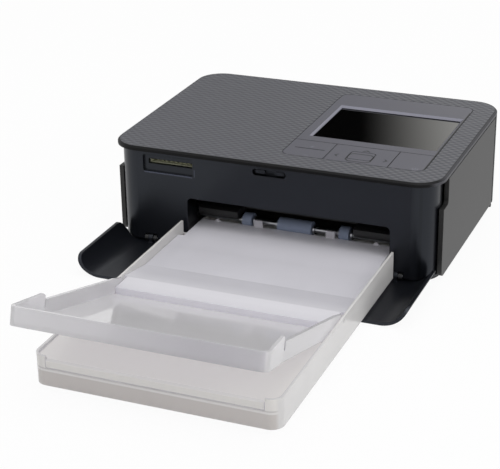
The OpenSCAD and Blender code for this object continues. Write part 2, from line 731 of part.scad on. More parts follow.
module card_socket() color([0.8, 0.8, 0.78]) {
    y0 = fascia_y + 4.1;
    difference() {
        slab(card_x - 14.4, y0, board_z + 1.5, [30, 22, 6.8]);
        translate([card_x + 1, y0 + 18, card_z + slot_in]) rotate([90, 0, 0]) linear_extrude(30)
            rounded(25, 2.4, 0.3);
    }
    for (i = [0:7]) slab(card_x - 9 + 2.6 * i, y0 + 2, card_z + slot_in - 1.2 - eps, [1.2, 12, 0.5]);
}

// Chassis: two side plates with the shafts' bores, joined by cross rails
module chassis() color([0.68, 0.69, 0.71]) {
    difference() {
        union() {
            along_x(plate_left, plate_t) plate_profile();
            along_x(plate_right, plate_t) plate_profile();
            slab(plate_left, rail_y, chassis_top - 15.9, [chassis_w, plate_t, 15.9]);
            slab(plate_left, chassis_back - 4, chassis_top - 13.5, [chassis_w, plate_t, 13.5]);
            for (x = [plate_left - foot_out, plate_right], y = foot_y)
                slab(x, y, base_top, [plate_t + foot_out, foot_len, plate_t]);
        }
        screws_at() cylinder(h = 9, r = screw_r + fit);
        for (c = [pickup_c, pinch_c, platen_c, take_up_c]) bores_at(c, shaft_r + fit);
        bores_at(feed_c, 2.5 + fit);
        rod(pinion_c, plate_left - 1, 3, 5.5);
        along_x(plate_right - 1, 4) ribbon_section(gap);
        along_x(plate_left - 1, plate_right - plate_left + 4)
            translate([platen_c[0] - 4.2, head_top - 4.3]) square([8.4, 6.3]);
    }
    for (c = [idler_c, ribbon_idler_c]) rod(c, gear_x, gear_t + gap + eps, shaft_r);
}

module bores_at(c, r) {
    rod(c, plate_left - 1, 3, r);
    rod(c, plate_right - 1, 3, r);
}

module plate_profile() {
    polygon([[chassis_front, base_top], [chassis_front, 22], [rail_y, chassis_top - 9.5],
        [rail_y, chassis_top], [chassis_back, chassis_top], [chassis_back, base_top]]);
}

// Motor: can, flange with two ears and the posts that stand it off the chassis plate
motor_r = 11.5;
motor_turn = 22;
motor_shaft_r = 1.2;
module stepper_motor() color([0.5, 0.51, 0.53]) {
    difference() {
        union() {
            rod(pinion_c, gear_x - 18, 18 - gap, motor_r);
            along_x(gear_x - gap - 1.3, 1.3) translate(pinion_c) rotate(motor_turn)
                rounded(36.4, 6.4, 3.2);
            for (d = [-15, 15]) {
                rod(step_to(pinion_c, motor_turn, d), gear_x - 2.4, 1, 2.6);
                rod(step_to(pinion_c, motor_turn, d), gear_x - 1.7, 1.7 + gear_t + gap, 1.4);
            }
        }
        rod(pinion_c, gear_x - 9, 10, motor_shaft_r + fit);
    }
}

module motor_shaft() color([0.75, 0.76, 0.78]) {
    rod(pinion_c, gear_x - 8.5, 8.5 + gear_t + 0.5, motor_shaft_r);
}

module motor_pinion() color([0.85, 0.75, 0.4]) {
    gear(pinion_teeth, pinion_c, pinion_turn, motor_shaft_r);
}

module pickup_idler_gear() color([0.92, 0.92, 0.9]) {
    gear(idler_teeth, idler_c, idler_turn, shaft_r + fit);
}

module pickup_gear() color([0.92, 0.92, 0.9]) {
    gear(pickup_teeth, pickup_c, pickup_turn, shaft_r);
}

module pickup_shaft() color([0.75, 0.76, 0.78]) {
    rod(pickup_c, gear_x - 0.6, plate_right + plate_t + 0.6 - gear_x, shaft_r);
    for (x = roller_spans()) for (e = [x[0] - 1.5, x[1] + 0.5]) rod(pickup_c, e, 1, 2.6);
}

function roller_spans() = [for (c = [[-28.1, 5.2], [-1, 19], [26.9, 5.4]])
    [path_x - 0.5 + c[0] - c[1] / 2, path_x - 0.5 + c[0] + c[1] / 2]];

module pickup_rollers() color([0.36, 0.4, 0.46]) {
    for (s = roller_spans()) difference() {
        rod(pickup_c, s[0], s[1] - s[0], pickup_r);
        rod(pickup_c, s[0] - 1, s[1] - s[0] + 2, shaft_r);
    }
}

module feed_gear() color([0.92, 0.92, 0.9]) {
    gear(feed_teeth, feed_c, feed_turn, 2.5);
}

module feed_roller() color([0.8, 0.81, 0.83]) {
    rod(feed_c, gear_x - 0.6, plate_right + plate_t + 0.6 - gear_x, 2.5);
    rod(feed_c, path_x - 53, 106, feed_r);
}

module pinch_roller() color([0.7, 0.71, 0.73]) {
    rod(pinch_c, plate_left, chassis_w + 0.6, shaft_r);
    rod(pinch_c, path_x - 52, 104, pinch_r);
}

module platen_shaft() color([0.75, 0.76, 0.78]) {
    rod(platen_c, plate_left, chassis_w + 0.6, shaft_r);
}

module platen_sleeve() color([0.15, 0.15, 0.16]) {
    difference() {
        rod(platen_c, path_x - 53, 106, platen_r);
        rod(platen_c, path_x - 54, 108, shaft_r);
    }
}

// Print head: ceramic bar under a finned aluminium carrier that rises in the chassis slots
film_z = print_z + 0.5;
film_t = 0.25;
head_half = 51.5;
head_z = film_z + film_t + gap + 0.5;
head_top = chassis_top - 3.5;
module print_head() color([0.85, 0.8, 0.7]) {
    slab(path_x - head_half, platen_c[0] - 6, head_z, [2 * head_half, 12, 1.6]);
    rod([platen_c[0], head_z + 0.5], path_x - head_half + 1, 2 * head_half - 2, 1);
}

module head_carrier() color([0.72, 0.73, 0.75]) {
    y0 = platen_c[0] - 7;
    slab(path_x - head_half, y0, head_z + 1.6, [2 * head_half, 14, 2.4]);
    for (i = [0:4])
        slab(path_x - head_half, y0 + 3.1 * i, head_z + 4 - eps,
            [2 * head_half, 1.6, head_top - head_z - 4 + eps]);
    slab(plate_left, platen_c[0] - 4, head_top - 4, [chassis_w + 0.6, 8, 4]);
    for (x = [-1, 1])
        slab(path_x + x * (head_half - 1.5) - 1.5, y0, head_z + 3, [3, 14, head_top - head_z - 3]);
}

module ribbon_idler_gear() color([0.92, 0.92, 0.9]) {
    gear(idler_teeth, ribbon_idler_c, ribbon_idler_turn, shaft_r + fit);
}

module ribbon_gear() color([0.92, 0.92, 0.9]) {
    gear(idler_teeth, take_up_c, ribbon_turn, 0.1);
    rod(take_up_c, gear_x + gear_t - eps, ribbon_x0 + 4 - gear_x - gear_t, shaft_r);
}

// Ribbon cartridge: two open-bottomed tubes joined by end frames and two rails
ribbon_x0 = -46;
ribbon_x1 = half_w - side_t - 6.6;
module ribbon_section(c) {
    for (s = [supply_c, take_up_c]) translate(s) circle(tube_r + c);
    translate([supply_c[0], spool_z - 2 - c]) square([take_up_c[0] - supply_c[0], 4 + 2 * c]);
}

module ribbon_shell() color([0.16, 0.16, 0.17]) {
    difference() {
        union() {
            for (s = [supply_c, take_up_c]) rod(s, ribbon_x0, ribbon_x1 - ribbon_x0, tube_r);
            slab(ribbon_x0, supply_c[0], spool_z - 2, [2.8, take_up_c[0] - supply_c[0], 4]);
            slab(ribbon_x1 - 8, supply_c[0], spool_z - 2, [8, take_up_c[0] - supply_c[0], 4]);
        }
        for (s = [supply_c, take_up_c]) {
            rod(s, ribbon_x0 + 2, ribbon_x1 - ribbon_x0 - 4, tube_r - 1.4);
            rod(s, ribbon_x0 - 1, ribbon_x1 - ribbon_x0 + 2, 3 + fit);
        }
        slab(path_x - 51, supply_c[0] + 4, spool_z - 7, [102, 7, 5]);
        slab(path_x - 51, take_up_c[0] - tube_r - 0.5, spool_z - 7, [102, 4.5, 7]);
    }
}

// Film from the supply roll over the pinch roller, under the print head, to the take-up roll
supply_roll_r = 6.8;
take_up_roll_r = 5.5;
function lower_tangent(c, r, p) =
    let (d = p - c, a = atan2(d[1], d[0]) - acos(r / norm(d))) c + r * [cos(a), sin(a)];
module ribbon_film() color([0.35, 0.1, 0.25]) {
    over = [platen_c[0] - 8.5, pinch_c[1] + pinch_r + 3];
    under = [platen_c[0] - 8.5, film_z + film_t / 2];
    past = [platen_c[0] + 8.6, film_z + film_t / 2];
    run = [lower_tangent(supply_c, supply_roll_r + film_t, over), over, under, past,
        lower_tangent(take_up_c, take_up_roll_r + film_t, past)];
    along_x(path_x - 50.5, 101) {
        for (i = [0:3])
            translate(run[i]) rotate(bearing_of(run[i], run[i + 1])) translate([0, -film_t / 2])
                square([norm(run[i + 1] - run[i]), film_t]);
        for (i = [1:3]) translate(run[i]) circle(film_t / 2);
    }
}

module spool(c, roll_r) {
    difference() {
        union() {
            rod(c, ribbon_x0 + 0.6, ribbon_x1 - ribbon_x0 - 1.2, 3);
            rod(c, path_x - 50.5, 101, roll_r);
            for (x = [path_x - 52, path_x + 50.8]) rod(c, x, 1.2, 7.6);
        }
        rod(c, ribbon_x0, 4.6, shaft_r + fit);
    }
}

module take_up_spool() color([0.3, 0.08, 0.2]) {
    spool(take_up_c, take_up_roll_r);
}

module supply_spool() color([0.5, 0.3, 0.1]) {
    spool(supply_c, supply_roll_r);
}

// Paper guides between the chassis plates: ramp behind the cassette, sill and blocks beside
// the pickup rollers, upper baffle and the sheet that leads to the rear slot
module paper_guide() color([0.07, 0.07, 0.08]) {
    x0 = plate_left + plate_t;
    w = plate_right - x0;
    along_x(x0, w) translate([pickup_y, 0]) polygon([[4.9, 18.8], [4.9, 21], [9.7, 21], [9.7, 18.8]]);
    for (span = [[path_x - 55.8, path_x - 33], [path_x + 32.4, path_x + 54.8]])
        along_x(span[0], span[1] - span[0]) translate([pickup_y, 0])
            polygon([[-6, 20.4], [-6, 17.6], [-4.3, 15.6], [-2.2, 15.6], [-2.2, 17],
                [8.3, 17], [8.3, 21], [-3.7, 21]]);
    along_x(x0, w) translate([pickup_y, 0])
        polygon([[-5.7, 31.6], [-5.7, 30], [4.3, 28], [8.3, 28], [8.3, 31.6]]);
    along_x(path_x - 52, 104) translate([nose_y, 0])
        polygon([[3, base_top], [3, 7.5], [14, 13], [22, 21], [23, 21], [23, base_top]]);
    along_x(x0, w) translate([platen_c[0] + 9, sheet_z])
        polygon([[0, -1.6], [0, -0.8], [3, 0], [chassis_back - platen_c[0] - 10, 0],
            [chassis_back - platen_c[0] - 10, -1.6]]);
}

// Front cover: thin tray with turned-up sides and two hinge arms
module front_cover() color([0.1, 0.1, 0.11]) {
    rise = wing_h - cover_z;
    intersection() {
        translate([0, 0, cover_z]) along_y(cover_front, cover_back - cover_front) difference() {
            translate([0, 30]) rounded(body_w, 60, corner_r);
            translate([0, 30 + cover_t]) rounded(body_w - 2 * cover_t, 60, corner_r - cover_t);
            translate([-body_w, rise]) square([2 * body_w, 90]);
        }
        along_x(-body_w, 2 * body_w) cover_side(rise);
        translate([0, 0, cover_z]) difference() {
            translate([-body_w, -body_d, 0]) cube([2 * body_w, body_d, 30]);
            translate([0, fascia_y - 0.5 + 40, cover_t + 0.5]) linear_extrude(30)
                rounded(2 * fascia_x + 1, 80, fascia_r + 0.5);
        }
    }
    for (x = [-1, 1]) hinge_arm(x * hinge_arm_x);
    for (x = [-1, 1]) slab(x * 6 - 2, cover_front + 4, cover_z + cover_t - eps, [4, 1.2, 0.4]);
}

// Side view of the cover, its wings rounded at both ends
module cover_side(rise) {
    y1 = cover_back;
    translate([cover_front, cover_z]) square([y1 - cover_front, rise - 7]);
    translate([cover_front + 7, cover_z]) square([y1 - cover_front - 11, rise]);
    translate([cover_front + 7, cover_z + rise - 7]) circle(7);
    translate([y1 - 4, cover_z + rise - 4]) circle(4);
    translate([y1 - 8, cover_z]) square([8, rise - 4]);
}

module hinge_arm(x) {
    along_x(x - hinge_arm_t / 2, hinge_arm_t) difference() {
        union() {
            translate([hinge_y, hinge_z]) circle(hinge_r);
            translate([hinge_y - hinge_r, cover_z + cover_t - eps])
                square([hinge_r + 1.2, hinge_z - cover_z - cover_t]);
        }
        translate([hinge_y, hinge_z]) circle(hinge_pin_r + fit);
    }
}

module cover_hinge_pins() color([0.78, 0.79, 0.8]) {
    for (x = [-1, 1]) rod([hinge_y, hinge_z], x * hinge_arm_x - 3.6, 7.2, hinge_pin_r);
}

// Cassette base: open box, full width outside the housing and a narrower, lower neck inside
module cassette_base() color([0.86, 0.86, 0.88, 0.6]) {
    difference() {
        union() {
            wide_box(0, cass_z, rim_z);
            slab(path_x - neck_w / 2, neck_y - 10, cass_z, [neck_w, nose_y - neck_y + 10, 8]);
        }
        wide_box(cass_wall, cass_z + floor_t, 99);
        slab(path_x - neck_w / 2 + cass_wall, neck_y - 10, cass_z + floor_t,
            [neck_w - 2 * cass_wall, nose_y - neck_y + 10 - cass_wall, 30]);
        slab(path_x - neck_w, nose_y - cass_wall - 1, cass_z + 5.4, [2 * neck_w, 9, 30]);
        slab(path_x - skirt_w / 2, cass_y - 1, deck_z - 0.9, [skirt_w, cass_wall + 2, 30]);
        slab(cass_left + cass_wall, neck_y - cass_wall - 1, cass_z + 8,
            [cass_w - 2 * cass_wall, cass_wall + 2, 30]);
        rod([pivot_y, pivot_z], cass_left - 1, cass_w + 2, pivot_r + fit);
    }
    for (x = [-1, 1]) {
        slab(path_x + x * (inner_w / 2 - 1.2) - 1.5, cass_y + 5, cass_z + floor_t - eps,
            [3, step_y - cass_y - 9.3, front_deck_z - 0.4 - lid_sheet - cass_z - floor_t + eps]);
        slab(path_x + x * (inner_w / 2 - 1.2) - 1.5, crest_y + 9, cass_z + floor_t - eps,
            [3, neck_y - crest_y - 13.4, deck_z - lid_sheet - cass_z - floor_t + eps]);
    }
    slab(path_x - 4.4, cass_y + cass_wall, cass_z + floor_t - eps, [2, 3, 6]);
}

// Full-width stretch of the cassette with rounded front corners, drawn in by a wall
module wide_box(in, z0, z1) {
    y0 = cass_y + in;
    y1 = neck_y - in;
    r = cass_r - in;
    translate([path_x, 0, z0]) linear_extrude(z1 - z0) {
        translate([0, (y0 + y1) / 2]) rounded(cass_w - 2 * in, y1 - y0, r);
        translate([-cass_w / 2 + in, (y0 + y1) / 2]) square([cass_w - 2 * in, (y1 - y0) / 2]);
    }
}

// Inner lid: sunk sheet over the paper, a ramp, a crest by the hinge and a raised front
lid_sheet = 1.5;
lid_back = pickup_y - pickup_r - 0.4;
module inner_lid() color([0.88, 0.88, 0.9, 0.6]) {
    low = deck_z - lid_sheet;
    high = front_deck_z - 0.4;
    intersection() {
        along_x(cass_left, cass_w) polygon([[lid_back, deck_z], [ramp_y, deck_z],
            [crest_y, front_deck_z], [crest_front, front_deck_z], [crest_front - 0.8, low + 0.2],
            [crest_front - 4, low], [step_y, high], [cass_y + 1, high], [cass_y, high - 1],
            [cass_y, deck_z - 0.4], [cass_y + 1.5, deck_z - 0.4], [cass_y + 1.5, high - lid_sheet],
            [step_y - 0.6, high - lid_sheet], [crest_front - 4.6, low - lid_sheet],
            [crest_front + 0.4, low - lid_sheet], [crest_front + 1.2, front_deck_z - lid_sheet],
            [crest_y - 0.4, front_deck_z - lid_sheet], [ramp_y - 0.2, low], [lid_back, low]]);
        lid_outline();
    }
    for (x = [-21.2, 19.6]) slab(path_x + x - 2.5, lid_back - 1.2, deck_z - eps, [5, 1.2, 4]);
    for (x = [-45, 45]) translate([path_x + x, 0, 0]) along_y(lid_back - 1.2, 1.2)
        polygon([[-2, deck_z - eps], [2, deck_z - eps], [0.5, deck_z + 1.4], [-0.5, deck_z + 1.4]]);
}

module lid_outline() {
    front = cass_y + cass_wall + gap;
    back = crest_front - 3;
    shoulder = neck_y - 7.4;
    translate([path_x, 0, 0]) linear_extrude(60) {
        translate([-inner_w / 2, crest_y + 1]) square([inner_w, shoulder - crest_y - 1]);
        translate([-crest_w / 2, back - 7]) square([crest_w, shoulder - back + 7]);
        translate([-neck_in, shoulder - 1]) square([2 * neck_in, lid_back - shoulder + 1]);
        translate([0, (front + back) / 2]) rounded(inner_w, back - front, cass_r - cass_wall - gap);
        translate([-skirt_w / 2 + gap, cass_y]) square([skirt_w - 2 * gap, 20]);
    }
}

module paper_stack() color([0.97, 0.97, 0.95]) {
    slab(path_x - paper_w / 2, paper_y, stack_z, [paper_w, paper_len, stack_h]);
}

// Output tray, in its own tilted frame: pivot at the origin, forward along -Y
module output_tray() color([0.84, 0.84, 0.87, 0.6]) {
    side = inner_w / 2;
    translate([path_x, pivot_y, pivot_z]) rotate([-tray_tilt, 0, 0]) {
        difference() {
            intersection() {
                tray_box(0, tray_floor - tray_t, tray_floor + tray_wing_h);
                along_x(-body_w, 2 * body_w) tray_side_view();
            }
            tray_box(tray_wall, tray_floor, 99);
            slab(-body_w, slot_y, tray_floor + 3.2, [2 * body_w, 1.5, 30]);
        }
        for (x = [-1, 1]) tray_ear(x * (side - tray_wall / 2));
        for (x = [-1, 1])
            rod([0, 0], x > 0 ? side - eps : -side - cass_wall + eps, cass_wall, pivot_r);
    }
}

// Outline of the tray drawn in by a wall: straight sides, standing out ahead of the slots
module tray_box(in, z0, z1) {
    w = inner_w / 2;
    back = in > 0 ? 2 : -7.5;
    y_corner = -tray_len + tray_r;
    left = -w - tray_flare[0];
    right = w + tray_flare[1];
    translate([0, 0, z0]) linear_extrude(z1 - z0) {
        polygon([[-w + in, back], [-w + in, slot_y], [left + in, y_corner], [left + tray_r, -tray_len + in],
            [right - tray_r, -tray_len + in], [right - in, y_corner], [w - in, slot_y], [w - in, back]]);
        for (x = [left + tray_r, right - tray_r]) translate([x, y_corner]) circle(tray_r - in);
    }
}

// Side view of the tray: the walls are taller ahead of the slots and slope down to the front
module tray_side_view() {
    top = tray_floor + tray_wall_h;
    wing = tray_floor + tray_wing_h;
    polygon([[5, tray_floor - tray_t], [5, top], [slot_y, top], [slot_y, wing - 1], [slot_y - 1, wing],
        [-tray_len + tray_r, top], [-tray_len - 1, top], [-tray_len - 1, tray_floor - tray_t]]);
}

module tray_ear(x) {
    along_x(x - tray_wall / 2, tray_wall) {
        circle(ear_r);
        polygon([[-9, tray_floor - tray_t], [-9, tray_floor + tray_wall_h],
            [-7.5, tray_floor + tray_wall_h], [1, ear_r - 0.2], [-0.5, -ear_r + 0.1],
            [-5, tray_floor - tray_t]]);
    }
}

base_pan();
rubber_feet();
case_screws();
front_fascia();
top_cover();
top_skin();
control_panel();
lcd_glass();
lcd_module();
key_board();
left_key();
direction_pad();
pad_pivot();
ok_key();
power_key();
left_side_panel();
rear_panel();
ink_door();
main_board();
usb_port();
dc_jack();
card_board();
card_socket();
chassis();
stepper_motor();
motor_shaft();
motor_pinion();
pickup_idler_gear();
pickup_gear();
pickup_shaft();
pickup_rollers();
feed_gear();
feed_roller();
pinch_roller();
platen_shaft();
platen_sleeve();
print_head();
head_carrier();
ribbon_idler_gear();
ribbon_gear();
ribbon_shell();
ribbon_film();
take_up_spool();
supply_spool();
paper_guide();
front_cover();
cover_hinge_pins();
cassette_base();
inner_lid();
paper_stack();
output_tray();
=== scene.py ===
import math

import bmesh
import bpy
from mathutils import Matrix, Vector

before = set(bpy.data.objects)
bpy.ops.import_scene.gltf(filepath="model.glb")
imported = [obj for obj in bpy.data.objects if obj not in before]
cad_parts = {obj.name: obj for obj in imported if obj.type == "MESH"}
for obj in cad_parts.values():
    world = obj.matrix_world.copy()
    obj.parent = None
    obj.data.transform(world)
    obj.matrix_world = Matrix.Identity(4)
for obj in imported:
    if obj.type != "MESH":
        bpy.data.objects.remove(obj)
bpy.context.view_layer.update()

# Camera: it stands in front of the printer, a little to its right and above it, with a long lens.
# Turn is counted from straight in front and rise from level; the roll is slight.
turn, rise, roll = math.radians(22.53), math.radians(23.88), math.radians(-0.92)
aim, distance = Vector((0.0028, -0.0922, 0.030)), 0.7537
back = Vector((math.sin(turn) * math.cos(rise), -math.cos(turn) * math.cos(rise), math.sin(rise)))
level = Vector((math.cos(turn), math.sin(turn), 0))
upright = back.cross(level)
right = math.cos(roll) * level + math.sin(roll) * upright
up = -math.sin(roll) * level + math.cos(roll) * upright
lens = bpy.data.cameras.new("camera")
lens.lens = 107.52
lens.sensor_width = 36
lens.shift_x = -0.0070
lens.shift_y = -0.0032
lens.clip_start, lens.clip_end = 0.01, 20
camera = bpy.data.objects.new("camera", lens)
axes = Matrix((right, up, back)).transposed().to_4x4()
camera.matrix_world = Matrix.Translation(aim + distance * back) @ axes
bpy.context.scene.collection.objects.link(camera)
bpy.context.scene.camera = camera
bpy.context.scene.view_settings.view_transform = "Standard"


# Room: white all round. The eye meets it nearly white, straight or mirrored, while the light it
# casts is weaker, so that the printer's dark faces keep their depth.
def linear(code):
    """An sRGB hex colour as linear red, green, blue and alpha."""
    parts = [int(code[i:i + 2], 16) / 255 for i in (0, 2, 4)]
    straight = [c / 12.92 if c <= 0.04045 else ((c + 0.055) / 1.055) ** 2.4 for c in parts]
    return (*straight, 1.0)


def add(tree, kind, inputs=None, **settings):
    """Adds a node, sets its properties, and gives each input a value or a (node, output) link."""
    made = tree.nodes.new(kind)
    for name, value in settings.items():
        setattr(made, name, value)
    for name, value in (inputs or {}).items():
        if isinstance(value, tuple) and isinstance(value[0], bpy.types.Node):
            tree.links.new(value[0].outputs[value[1]], made.inputs[name])
        else:
            made.inputs[name].default_value = value
    return made


def looked_at(tree):
    """1 for what the eye sees straight, mirrored or through a clear wall, 0 for spread light."""
    seen = add(tree, "ShaderNodeLightPath")
    sharp = add(tree, "ShaderNodeMath", {0: (seen, "Is Camera Ray"), 1: (seen, "Is Glossy Ray")},
        operation="MAXIMUM")
    return add(tree, "ShaderNodeMath", {0: (sharp, 0), 1: (seen, "Is Transmission Ray")},
        operation="MAXIMUM")


world = bpy.data.worlds.new("white_room")
world.use_nodes = True
room = world.node_tree
room.nodes.clear()
soft = add(room, "ShaderNodeBackground", {"Color": linear("ffffff"), "Strength": 0.62})
plain = add(room, "ShaderNodeBackground", {"Color": linear("ffffff"), "Strength": 0.98})
both = add(room, "ShaderNodeMixShader", {0: (looked_at(room), 0), 1: (soft, 0), 2: (plain, 0)})
add(room, "ShaderNodeOutputWorld", {"Surface": (both, 0)})
bpy.context.scene.world = world


# Table top: a wide sheet of white laminate under the feet. It spreads light as a matt face does,
# and mostly glows where it is looked at, so that it runs into the room without an edge.
def material(name):
    """An empty node material, as (material, its tree)."""
    made = bpy.data.materials.new(name)
    made.use_nodes = True
    made.node_tree.nodes.clear()
    return made, made.node_tree


def studio_sheet(name, made, size, place):
    """A flat sheet of the studio; the matrix sizes, turns and moves it."""
    sheet = bmesh.new()
    bmesh.ops.create_grid(sheet, x_segments=1, y_segments=1, size=size)
    bmesh.ops.transform(sheet, matrix=place, verts=sheet.verts)
    mesh = bpy.data.meshes.new(name)
    sheet.to_mesh(mesh)
    sheet.free()
    mesh.materials.append(made)
    thing = bpy.data.objects.new(name, mesh)
    bpy.context.scene.collection.objects.link(thing)
    return thing


made, tree = material("white_table_laminate")
part = add(tree, "ShaderNodeMath", {0: (looked_at(tree), 0), 1: 0.94}, operation="MULTIPLY")
matt = add(tree, "ShaderNodeBsdfDiffuse", {"Color": linear("e7e7e7")})
glow = add(tree, "ShaderNodeEmission", {"Color": linear("ffffff"), "Strength": 1.0})
both = add(tree, "ShaderNodeMixShader", {0: (part, 0), 1: (matt, 0), 2: (glow, 0)})
add(tree, "ShaderNodeOutputMaterial", {"Surface": (both, 0)})
under_feet = 0.0001
table_top = studio_sheet("table_top", made, 3.0, Matrix.Translation((0, 0, -under_feet)))

# Lamps: two square softboxes, each turned to the printer. The large one hangs overhead, and the
# weaker one stands on the right and lights the side door.
for name, place, target, size, watts in (
        ("overhead_softbox", (0.10, -0.15, 1.30), (0, -0.05, 0), 1.0, 7.0),
        ("right_softbox", (1.30, -0.30, 0.70), (0, 0, 0.03), 0.8, 4.0)):
    lamp = bpy.data.lights.new(name, "AREA")
    lamp.shape, lamp.size, lamp.energy = "SQUARE", size, watts
    holder = bpy.data.objects.new(name, lamp)
    way = Vector(target) - Vector(place)
    turned = way.to_track_quat("-Z", "Y").to_matrix().to_4x4()
    holder.matrix_world = Matrix.Translation(place) @ turned
    bpy.context.scene.collection.objects.link(holder)

# Flag card: black on its left and lit towards its right, upright behind the printer. It shows only
# mirrored or through clear walls, and gives the display's glass a dark left and a paler right.
made, tree = material("graded_flag_card")
black_until, lit_from = -0.170, -0.040
place = add(tree, "ShaderNodeTexCoord")
axis = add(tree, "ShaderNodeSeparateXYZ", {"Vector": (place, "Object")})
ramp = add(tree, "ShaderNodeMapRange", {"Value": (axis, "X"), "From Min": black_until,
    "From Max": lit_from, "To Min": 0.0, "To Max": 1.4}, interpolation_type="SMOOTHSTEP")
lit = add(tree, "ShaderNodeEmission", {"Color": linear("fffefa"), "Strength": (ramp, 0)})
add(tree, "ShaderNodeOutputMaterial", {"Surface": (lit, 0)})
flag_card = studio_sheet("flag_card", made, 0.5, Matrix.Translation((-0.33, 0.60, 0.287))
    @ Matrix.Rotation(math.pi / 2, 4, "X") @ Matrix.Diagonal((0.7, 0.16, 1, 1)))
flag_card.visible_camera = False
flag_card.visible_diffuse = False
flag_card.visible_shadow = False


# Base: a black ABS pan, injection-moulded, that carries the works. It stands on four rubber feet,
# and steel screws hold the chassis down on it.
def dress(node, made):
    """Gives a carried-over CAD node its material."""
    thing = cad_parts[node]
    thing.data.materials.clear()
    thing.data.materials.append(made)


def clouded(tree, place, colour, patch_mm, detail, vary):
    """The colour with faint patches, as a moulding has where it cooled unevenly, as a link."""
    patches = add(tree, "ShaderNodeTexNoise", {"Vector": (place, "Object"),
        "Scale": 1000 / patch_mm, "Detail": detail})
    shift = add(tree, "ShaderNodeMapRange", {"Value": (patches, 0), "From Min": 0.3,
        "From Max": 0.7, "To Min": 1 - vary, "To Max": 1 + vary})
    return (add(tree, "ShaderNodeVectorMath", {0: linear(colour)[:3], "Scale": (shift, 0)},
        operation="SCALE"), 0)


def toned(tree, tint, mask, gain):
    """The tint, a link, multiplied by gain where the mask is 1."""
    scale = add(tree, "ShaderNodeMapRange", {"Value": (mask, 0), "To Min": 1.0, "To Max": gain})
    return (add(tree, "ShaderNodeVectorMath", {0: tint, "Scale": (scale, 0)},
        operation="SCALE"), 0)


def roughened(tree, place, edge, grain_mm, depth_mm, strength=0.6):
    """A fine relief of grains, on top of the rounded edges."""
    grain = add(tree, "ShaderNodeTexNoise", {"Vector": (place, "Object"),
        "Scale": 1000 / grain_mm, "Detail": 2.0})
    return add(tree, "ShaderNodeBump", {"Height": (grain, 0), "Distance": depth_mm / 1000,
        "Strength": strength, "Normal": (edge, 0)})


def grained(name, colour, roughness, grain_mm=0.5, depth_mm=0.02, edge_mm=0.3, specular=0.5,
        vary=0.05, metal=0.0, sheen="ffffff", tones=()):
    """A solid finish with a fine grain, faint patches and rounded edges. Each of the tones is a
    function that makes a mask from the tree, its coordinates and its edges, and a gain there."""
    made, tree = material(name)
    place = add(tree, "ShaderNodeTexCoord")
    edge = add(tree, "ShaderNodeBevel", {"Radius": edge_mm / 1000}, samples=4)
    tint = clouded(tree, place, colour, 55.6, 1.0, vary)
    for mask_of, gain in tones:
        tint = toned(tree, tint, mask_of(tree, place, edge), gain)
    relief = roughened(tree, place, edge, grain_mm, depth_mm)
    skin = add(tree, "ShaderNodeBsdfPrincipled", {"Base Color": tint, "Roughness": roughness,
        "Specular IOR Level": specular, "Specular Tint": linear(sheen), "Metallic": metal,
        "Normal": (relief, 0)})
    add(tree, "ShaderNodeOutputMaterial", {"Surface": (skin, 0)})
    return made


# ABS from a spark-eroded mould is near-black with a dull, even sheen.
dress("base_pan", grained("black_abs_base", "17181a", 0.55))
# Moulded rubber shows no highlight, and its grain is coarse.
dress("rubber_feet", grained("black_rubber_feet", "1c1c1c", 0.85, grain_mm=0.8, depth_mm=0.05))
# Zinc plating is light grey, with a small soft highlight on each head.
dress("case_screws", grained("zinc_plated_screws", "9a9a9c", 0.35, grain_mm=0.4, depth_mm=0.01))

# Frame and drive: two steel side plates joined by cross rails, with bores for the shafts. A motor
# on posts turns the ground steel shafts through a brass pinion and moulded nylon gears.

# Zinc-coated sheet is a mid-grey metal with a soft, slightly cloudy shine.
steel = grained("zinc_coated_steel", "a7a9ac", 0.4, grain_mm=0.6, depth_mm=0.01, metal=1.0)
for name in ("chassis", "stepper_motor"):
    dress(name, steel)
# Ground steel shines in a narrow streak along each shaft.
ground = grained("ground_shaft_steel", "9a9ca0", 0.28, grain_mm=0.3, depth_mm=0.004, metal=1.0)
for name in ("motor_shaft", "pickup_shaft", "pinch_roller", "platen_shaft", "feed_roller",
        "usb_port", "cover_hinge_pins"):
    dress(name, ground)
# Uncoloured nylon is a warm white, half matt.
nylon = grained("white_nylon_gears", "e2e1da", 0.5, depth_mm=0.01)
for name in ("pickup_idler_gear", "pickup_gear", "feed_gear", "ribbon_idler_gear", "ribbon_gear"):
    dress(name, nylon)
# Turned brass is yellow, with a sharp shine.
dress("motor_pinion", grained("turned_brass", "c9a85a", 0.3, grain_mm=0.4, depth_mm=0.006,
    metal=1.0))
# Feed rubber is a matt blue-grey, and the platen's a matt black.
dress("pickup_rollers", grained("blue_grey_feed_rubber", "8590a6", 0.7, grain_mm=0.6,
    depth_mm=0.04))
dress("platen_sleeve", grained("black_platen_rubber", "202022", 0.7, grain_mm=0.6, depth_mm=0.03))
# Black ABS without a fine grain takes in most of the light that gets into the mouth.
black = grained("black_abs_inside", "121214", 0.6)
for name in ("paper_guide", "ribbon_shell", "dc_jack", "pad_pivot"):
    dress(name, black)

# Print head and ribbon: a glazed ceramic bar on an aluminium carrier presses the dye ribbon on the
# paper. The ribbon runs from the supply spool to the take-up spool in a black ABS cartridge.

# Glaze makes the ceramic's cream colour glossy.
dress("print_head", grained("glazed_alumina", "d9cbb2", 0.25))
# Extruded aluminium is a pale metal with a soft shine.
dress("head_carrier", grained("extruded_aluminium", "c4c6ca", 0.35, depth_mm=0.01, metal=1.0))
# Dye film is dark and smooth: purple-red where it is used, brown-yellow where it is fresh.
dress("ribbon_film", grained("magenta_dye_film", "5a1a3c", 0.2))
dress("take_up_spool", grained("wound_used_film", "4c1634", 0.3))
dress("supply_spool", grained("wound_fresh_film", "7d4d1c", 0.3))

# Boards: etched glass-fibre boards under a green lacquer, the display's module in its frame, and
# the card socket with its pale resin body.

